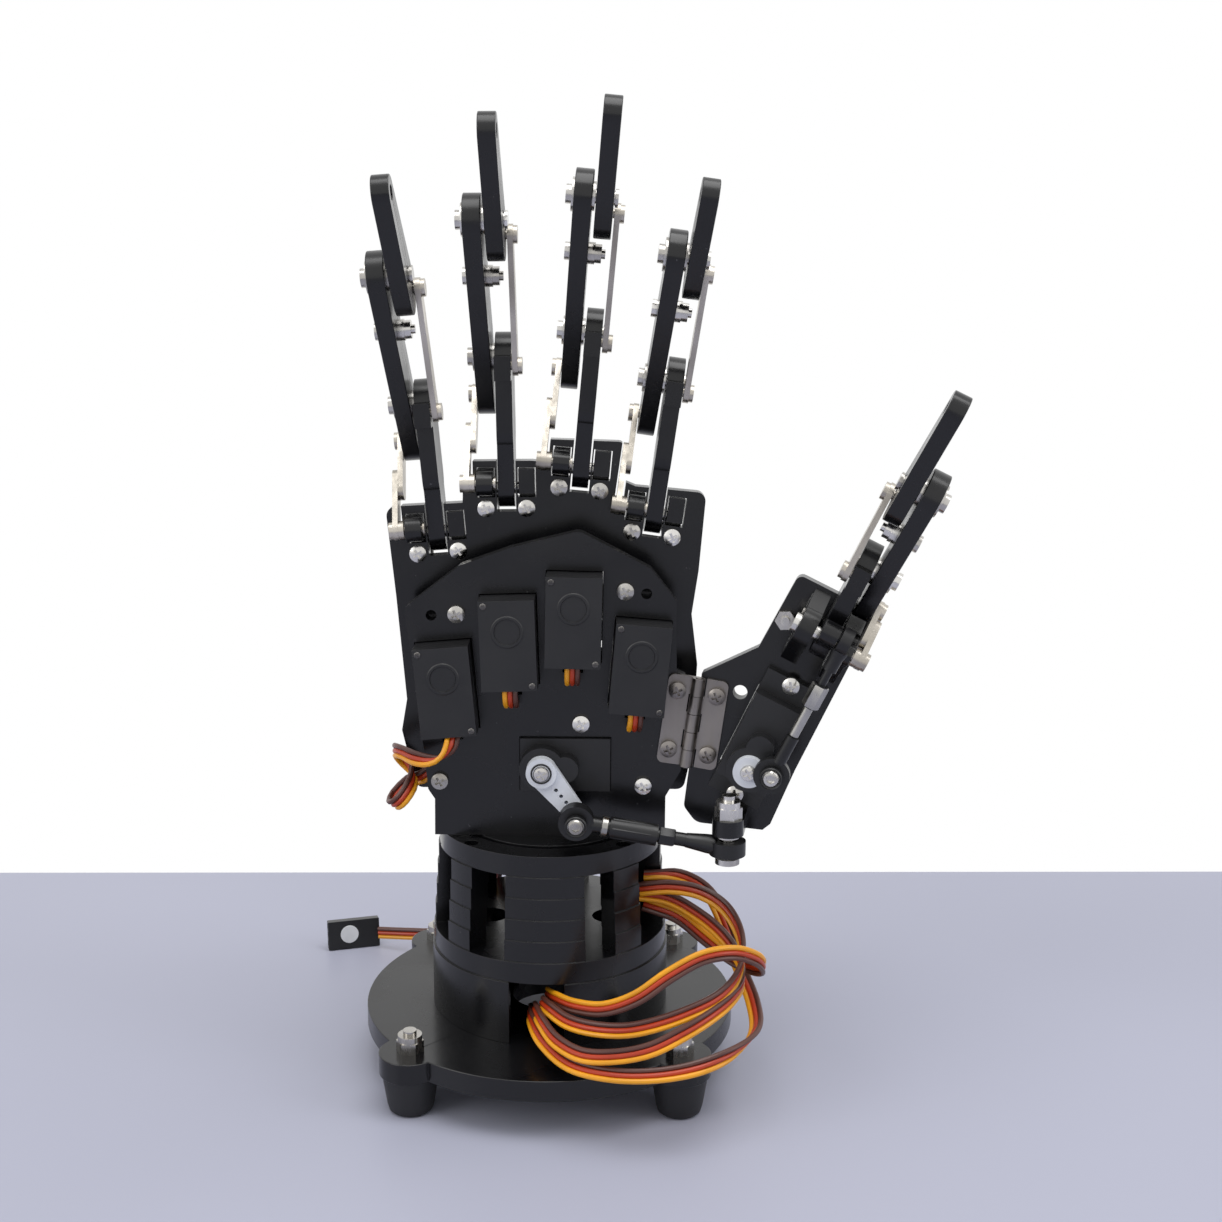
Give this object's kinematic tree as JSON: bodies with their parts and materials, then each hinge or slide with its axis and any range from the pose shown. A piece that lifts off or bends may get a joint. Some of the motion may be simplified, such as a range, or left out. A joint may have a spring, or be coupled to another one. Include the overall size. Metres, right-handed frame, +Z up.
{
  "type": "dexterous robot hand",
  "caption": "Desk-top servo-driven robot hand: laser-cut palm with linkage fingers and thumb on a turning column stand.",
  "frame": {"origin": "middle of the hand's box at table level, without the servo leads", "axes": "+Z up along the fingers, -Y the way the palm faces, +X towards the thumb"},
  "size_m": [0.1461, 0.1153, 0.2176],
  "materials": {
    "black_sheet": "satin laser-cut sheet with polished edges",
    "rubber": "matt",
    "fastener_steel": "plated, bright",
    "link_steel": "rolled strip",
    "rod_steel": "drawn wire",
    "servo_case": "moulded, fine grain",
    "horn_plastic": "moulded nylon",
    "ball_link": "moulded, smooth",
    "lead_skin": "soft wire skin",
    "connector": "moulded"
  },
  "bodies": {
    "stand": {"base_plate": "black_sheet", "rubber_feet": "rubber", "foot_fasteners": "fastener_steel", "column_rings": "black_sheet", "wrist_servo": "servo_case", "servo_leads": "lead_skin", "lead_plug": "connector"},
    "palm": {"turntable": "black_sheet", "finger_plate": "black_sheet", "front_plate": "black_sheet", "palm_hardware": "fastener_steel", "finger_brackets": "black_sheet", "palm_servos": "servo_case", "hinge_fixed_leaf": "link_steel"},
    "pinky_proximal": {"pinky_proximal": "black_sheet"},
    "pinky_middle": {"pinky_middle": "black_sheet", "pinky_screws": "fastener_steel"},
    "pinky_distal": {"pinky_distal": "black_sheet"},
    "pinky_link_1": {"pinky_link_1": "link_steel"},
    "pinky_link_2": {"pinky_link_2": "link_steel"},
    "pinky_rod": {"pinky_rod": "rod_steel"},
    "pinky_horn": {"pinky_horn": "horn_plastic"},
    "ring_proximal": {"ring_proximal": "black_sheet"},
    "ring_middle": {"ring_middle": "black_sheet", "ring_screws": "fastener_steel"},
    "ring_distal": {"ring_distal": "black_sheet"},
    "ring_link_1": {"ring_link_1": "link_steel"},
    "ring_link_2": {"ring_link_2": "link_steel"},
    "ring_rod": {"ring_rod": "rod_steel"},
    "ring_horn": {"ring_horn": "horn_plastic"},
    "middle_proximal": {"middle_proximal": "black_sheet"},
    "middle_middle": {"middle_middle": "black_sheet", "middle_screws": "fastener_steel"},
    "middle_distal": {"middle_distal": "black_sheet"},
    "middle_link_1": {"middle_link_1": "link_steel"},
    "middle_link_2": {"middle_link_2": "link_steel"},
    "middle_rod": {"middle_rod": "rod_steel"},
    "middle_horn": {"middle_horn": "horn_plastic"},
    "index_proximal": {"index_proximal": "black_sheet"},
    "index_middle": {"index_middle": "black_sheet", "index_screws": "fastener_steel"},
    "index_distal": {"index_distal": "black_sheet"},
    "index_link_1": {"index_link_1": "link_steel"},
    "index_link_2": {"index_link_2": "link_steel"},
    "index_rod": {"index_rod": "rod_steel"},
    "index_horn": {"index_horn": "horn_plastic"},
    "thumb_base": {"hinge_moving_leaf": "link_steel", "thumb_frame": "black_sheet", "thumb_hardware": "fastener_steel", "thumb_servo": "servo_case"},
    "thumb_proximal": {"thumb_proximal": "black_sheet"},
    "thumb_middle": {"thumb_middle": "black_sheet", "thumb_screws": "fastener_steel"},
    "thumb_distal": {"thumb_distal": "black_sheet"},
    "thumb_link_1": {"thumb_link_1": "link_steel"},
    "thumb_link_2": {"thumb_link_2": "link_steel"},
    "thumb_rod": {"thumb_rod": "ball_link"},
    "thumb_horn": {"thumb_horn": "horn_plastic"},
    "swing_rod": {"swing_rod": "ball_link"},
    "swing_horn": {"swing_horn": "horn_plastic"}
  },
  "joints": [
    {"name": "wrist_turn", "type": "hinge", "parent": "stand", "child": "palm", "pos_m": [-0.01937, 0.00601, 0.058], "axis": [0, 0, 1], "range_deg": [-60, 60]},
    {"name": "pinky_curl", "type": "hinge", "parent": "palm", "child": "pinky_proximal", "pos_m": [-0.04477, 0.00821, 0.1257], "axis": [0.9965, 0, 0.0837], "range_deg": [-6, 44]},
    {"name": "pinky_middle_bend", "type": "hinge", "parent": "pinky_proximal", "child": "pinky_middle", "pos_m": [-0.0472, 0.00719, 0.15468], "axis": [0.9965, 0, 0.0837], "range_deg": [-3.93, 25.67]},
    {"name": "pinky_tip_bend", "type": "hinge", "parent": "pinky_middle", "child": "pinky_distal", "pos_m": [-0.04955, -0.0132, 0.18266], "axis": [0.9965, 0, 0.0837], "range_deg": [-4, 26.15]},
    {"name": "pinky_link_1_turn", "type": "hinge", "parent": "palm", "child": "pinky_link_1", "pos_m": [-0.04492, 0.00131, 0.12749], "axis": [0.9965, 0, 0.0837], "range_deg": [-6.34, 43.31]},
    {"name": "pinky_link_2_turn", "type": "hinge", "parent": "pinky_proximal", "child": "pinky_link_2", "pos_m": [-0.04706, 0.00145, 0.15299], "axis": [0.9965, 0, 0.0837], "range_deg": [-3.62, 23.38]},
    {"name": "pinky_rod_turn", "type": "hinge", "parent": "pinky_proximal", "child": "pinky_rod", "pos_m": [-0.04756, 0.01479, 0.12306], "axis": [0.998, -0.0008, 0.0639], "range_deg": [-44.89, 6.55]},
    {"name": "pinky_horn_turn", "type": "hinge", "parent": "palm", "child": "pinky_horn", "pos_m": [-0.04123, 0.01591, 0.08842], "axis": [0, 1, 0], "range_deg": [-6.4, 43.77]},
    {"name": "ring_curl", "type": "hinge", "parent": "palm", "child": "ring_proximal", "pos_m": [-0.02907, 0.00821, 0.1358], "axis": [0.9999, 0, 0.014], "range_deg": [-6, 44]},
    {"name": "ring_middle_bend", "type": "hinge", "parent": "ring_proximal", "child": "ring_middle", "pos_m": [-0.02948, 0.00719, 0.16508], "axis": [0.9999, 0, 0.014], "range_deg": [-3.93, 25.67]},
    {"name": "ring_tip_bend", "type": "hinge", "parent": "ring_middle", "child": "ring_distal", "pos_m": [-0.02988, -0.0138, 0.19396], "axis": [0.9999, 0, 0.014], "range_deg": [-4, 26.15]},
    {"name": "ring_link_1_turn", "type": "hinge", "parent": "palm", "child": "ring_link_1", "pos_m": [-0.02909, 0.00131, 0.1376], "axis": [0.9999, 0, 0.014], "range_deg": [-6.34, 43.31]},
    {"name": "ring_link_2_turn", "type": "hinge", "parent": "ring_proximal", "child": "ring_link_2", "pos_m": [-0.02945, 0.00144, 0.16338], "axis": [0.9999, 0, 0.014], "range_deg": [-3.62, 23.38]},
    {"name": "ring_rod_turn", "type": "hinge", "parent": "ring_proximal", "child": "ring_rod", "pos_m": [-0.03204, 0.01479, 0.13336], "axis": [0.9999, -0.0123, -0.0025], "range_deg": [-44.9, 6.55]},
    {"name": "ring_horn_turn", "type": "hinge", "parent": "palm", "child": "ring_horn", "pos_m": [-0.02764, 0.01591, 0.099], "axis": [0, 1, 0], "range_deg": [-6.44, 44.07]},
    {"name": "middle_curl", "type": "hinge", "parent": "palm", "child": "middle_proximal", "pos_m": [-0.01237, 0.00821, 0.1402], "axis": [0.9962, 0, -0.0872], "range_deg": [-6, 44]},
    {"name": "middle_middle_bend", "type": "hinge", "parent": "middle_proximal", "child": "middle_middle", "pos_m": [-0.00973, 0.00715, 0.17037], "axis": [0.9962, 0, -0.0872], "range_deg": [-3.93, 25.67]},
    {"name": "middle_tip_bend", "type": "hinge", "parent": "middle_middle", "child": "middle_distal", "pos_m": [-0.00726, -0.01342, 0.19857], "axis": [0.9962, 0, -0.0872], "range_deg": [-4, 26.15]},
    {"name": "middle_link_1_turn", "type": "hinge", "parent": "palm", "child": "middle_link_1", "pos_m": [-0.01221, 0.00131, 0.14199], "axis": [0.9962, 0, -0.0872], "range_deg": [-6.34, 43.31]},
    {"name": "middle_link_2_turn", "type": "hinge", "parent": "middle_proximal", "child": "middle_link_2", "pos_m": [-0.00988, 0.00141, 0.16867], "axis": [0.9962, 0, -0.0872], "range_deg": [-3.62, 23.38]},
    {"name": "middle_rod_turn", "type": "hinge", "parent": "middle_proximal", "child": "middle_rod", "pos_m": [-0.00959, 0.01479, 0.13755], "axis": [0.9977, -0.0002, -0.0676], "range_deg": [-44.85, 6.55]},
    {"name": "middle_horn_turn", "type": "hinge", "parent": "palm", "child": "middle_horn", "pos_m": [-0.01371, 0.01591, 0.1042], "axis": [0, 1, 0], "range_deg": [-43.69, 6.39]},
    {"name": "index_curl", "type": "hinge", "parent": "palm", "child": "index_proximal", "pos_m": [0.00413, 0.00821, 0.1301], "axis": [0.991, 0, -0.134], "range_deg": [-6, 44]},
    {"name": "index_middle_bend", "type": "hinge", "parent": "index_proximal", "child": "index_middle", "pos_m": [0.00815, 0.00716, 0.15981], "axis": [0.991, 0, -0.134], "range_deg": [-3.93, 25.67]},
    {"name": "index_tip_bend", "type": "hinge", "parent": "index_middle", "child": "index_distal", "pos_m": [0.01175, -0.01235, 0.18643], "axis": [0.991, 0, -0.134], "range_deg": [-4, 26.15]},
    {"name": "index_link_1_turn", "type": "hinge", "parent": "palm", "child": "index_link_1", "pos_m": [0.00437, 0.00131, 0.13188], "axis": [0.991, 0, -0.134], "range_deg": [-6.34, 43.31]},
    {"name": "index_link_2_turn", "type": "hinge", "parent": "index_proximal", "child": "index_link_2", "pos_m": [0.00792, 0.00142, 0.15812], "axis": [0.991, 0, -0.134], "range_deg": [-3.62, 23.38]},
    {"name": "index_rod_turn", "type": "hinge", "parent": "index_proximal", "child": "index_rod", "pos_m": [0.00678, 0.01479, 0.12732], "axis": [0.9936, -0.008, -0.1123], "range_deg": [-44.86, 6.55]},
    {"name": "index_horn_turn", "type": "hinge", "parent": "palm", "child": "index_horn", "pos_m": [0.00062, 0.01591, 0.09372], "axis": [0, 1, 0], "range_deg": [-43.49, 6.36]},
    {"name": "thumb_swing", "type": "hinge", "parent": "palm", "child": "thumb_base", "pos_m": [0.01283, -0.00849, 0.0858], "axis": [-0.1305, 0, -0.9914], "range_deg": [-8, 36]},
    {"name": "thumb_curl", "type": "hinge", "parent": "thumb_base", "child": "thumb_proximal", "pos_m": [0.0403, -0.01837, 0.10778], "axis": [0.889, -0.1652, -0.427], "range_deg": [-5, 26]},
    {"name": "thumb_middle_bend", "type": "hinge", "parent": "thumb_proximal", "child": "thumb_middle", "pos_m": [0.04766, -0.02055, 0.12394], "axis": [0.889, -0.1652, -0.427], "range_deg": [-2.79, 12.38]},
    {"name": "thumb_tip_bend", "type": "hinge", "parent": "thumb_middle", "child": "thumb_distal", "pos_m": [0.05418, -0.03305, 0.14237], "axis": [0.889, -0.1652, -0.427], "range_deg": [-2.71, 11.98]},
    {"name": "thumb_link_1_turn", "type": "hinge", "parent": "thumb_base", "child": "thumb_link_1", "pos_m": [0.03952, -0.0228, 0.10788], "axis": [0.889, -0.1652, -0.427], "range_deg": [-4.18, 19.64]},
    {"name": "thumb_link_2_turn", "type": "hinge", "parent": "thumb_proximal", "child": "thumb_link_2", "pos_m": [0.04587, -0.02605, 0.12236], "axis": [0.889, -0.1652, -0.427], "range_deg": [-2.25, 9.6]},
    {"name": "thumb_rod_turn", "type": "hinge", "parent": "thumb_proximal", "child": "thumb_rod", "pos_m": [0.04299, -0.02875, 0.10944], "axis": [0.9411, -0.1405, -0.3075], "range_deg": [-26, 5.4]},
    {"name": "thumb_horn_turn", "type": "hinge", "parent": "thumb_base", "child": "thumb_horn", "pos_m": [0.02405, -0.02371, 0.07869], "axis": [0.1722, 0.9848, -0.0227], "range_deg": [-10.48, 52.39]},
    {"name": "swing_rod_turn", "type": "hinge", "parent": "thumb_base", "child": "swing_rod", "pos_m": [0.02055, -0.01804, 0.06019], "axis": [0.0156, -0.2726, 0.962], "range_deg": [-6.77, 28.72]},
    {"name": "swing_horn_turn", "type": "hinge", "parent": "palm", "child": "swing_horn", "pos_m": [-0.02057, -0.01799, 0.0755], "axis": [0, 1, 0], "range_deg": [-8.93, 38.41]}
  ],
  "couplings": [
    {"joint": "pinky_middle_bend", "follows": "pinky_curl", "ratio": 0.572},
    {"joint": "pinky_tip_bend", "follows": "pinky_curl", "ratio": 0.583},
    {"joint": "pinky_link_1_turn", "follows": "pinky_curl", "ratio": 0.973},
    {"joint": "pinky_link_2_turn", "follows": "pinky_curl", "ratio": 0.52},
    {"joint": "pinky_rod_turn", "follows": "pinky_curl", "ratio": -1.0088},
    {"joint": "pinky_horn_turn", "follows": "pinky_curl", "ratio": 0.98347},
    {"joint": "ring_middle_bend", "follows": "ring_curl", "ratio": 0.572},
    {"joint": "ring_tip_bend", "follows": "ring_curl", "ratio": 0.583},
    {"joint": "ring_link_1_turn", "follows": "ring_curl", "ratio": 0.973},
    {"joint": "ring_link_2_turn", "follows": "ring_curl", "ratio": 0.52},
    {"joint": "ring_rod_turn", "follows": "ring_curl", "ratio": -1.0091},
    {"joint": "ring_horn_turn", "follows": "ring_curl", "ratio": 0.99034},
    {"joint": "middle_middle_bend", "follows": "middle_curl", "ratio": 0.572},
    {"joint": "middle_tip_bend", "follows": "middle_curl", "ratio": 0.583},
    {"joint": "middle_link_1_turn", "follows": "middle_curl", "ratio": 0.973},
    {"joint": "middle_link_2_turn", "follows": "middle_curl", "ratio": 0.52},
    {"joint": "middle_rod_turn", "follows": "middle_curl", "ratio": -1.008},
    {"joint": "middle_horn_turn", "follows": "middle_curl", "ratio": -0.98153},
    {"joint": "index_middle_bend", "follows": "index_curl", "ratio": 0.572},
    {"joint": "index_tip_bend", "follows": "index_curl", "ratio": 0.583},
    {"joint": "index_link_1_turn", "follows": "index_curl", "ratio": 0.973},
    {"joint": "index_link_2_turn", "follows": "index_curl", "ratio": 0.52},
    {"joint": "index_rod_turn", "follows": "index_curl", "ratio": -1.0083},
    {"joint": "index_horn_turn", "follows": "index_curl", "ratio": -0.97698},
    {"joint": "thumb_middle_bend", "follows": "thumb_curl", "ratio": 0.457},
    {"joint": "thumb_tip_bend", "follows": "thumb_curl", "ratio": 0.4415},
    {"joint": "thumb_link_1_turn", "follows": "thumb_curl", "ratio": 0.736},
    {"joint": "thumb_link_2_turn", "follows": "thumb_curl", "ratio": 0.35},
    {"joint": "thumb_rod_turn", "follows": "thumb_curl", "ratio": -0.98069},
    {"joint": "thumb_horn_turn", "follows": "thumb_curl", "ratio": 1.9957},
    {"joint": "swing_rod_turn", "follows": "thumb_swing", "ratio": 0.78384},
    {"joint": "swing_horn_turn", "follows": "thumb_swing", "ratio": 1.0532}
  ]
}
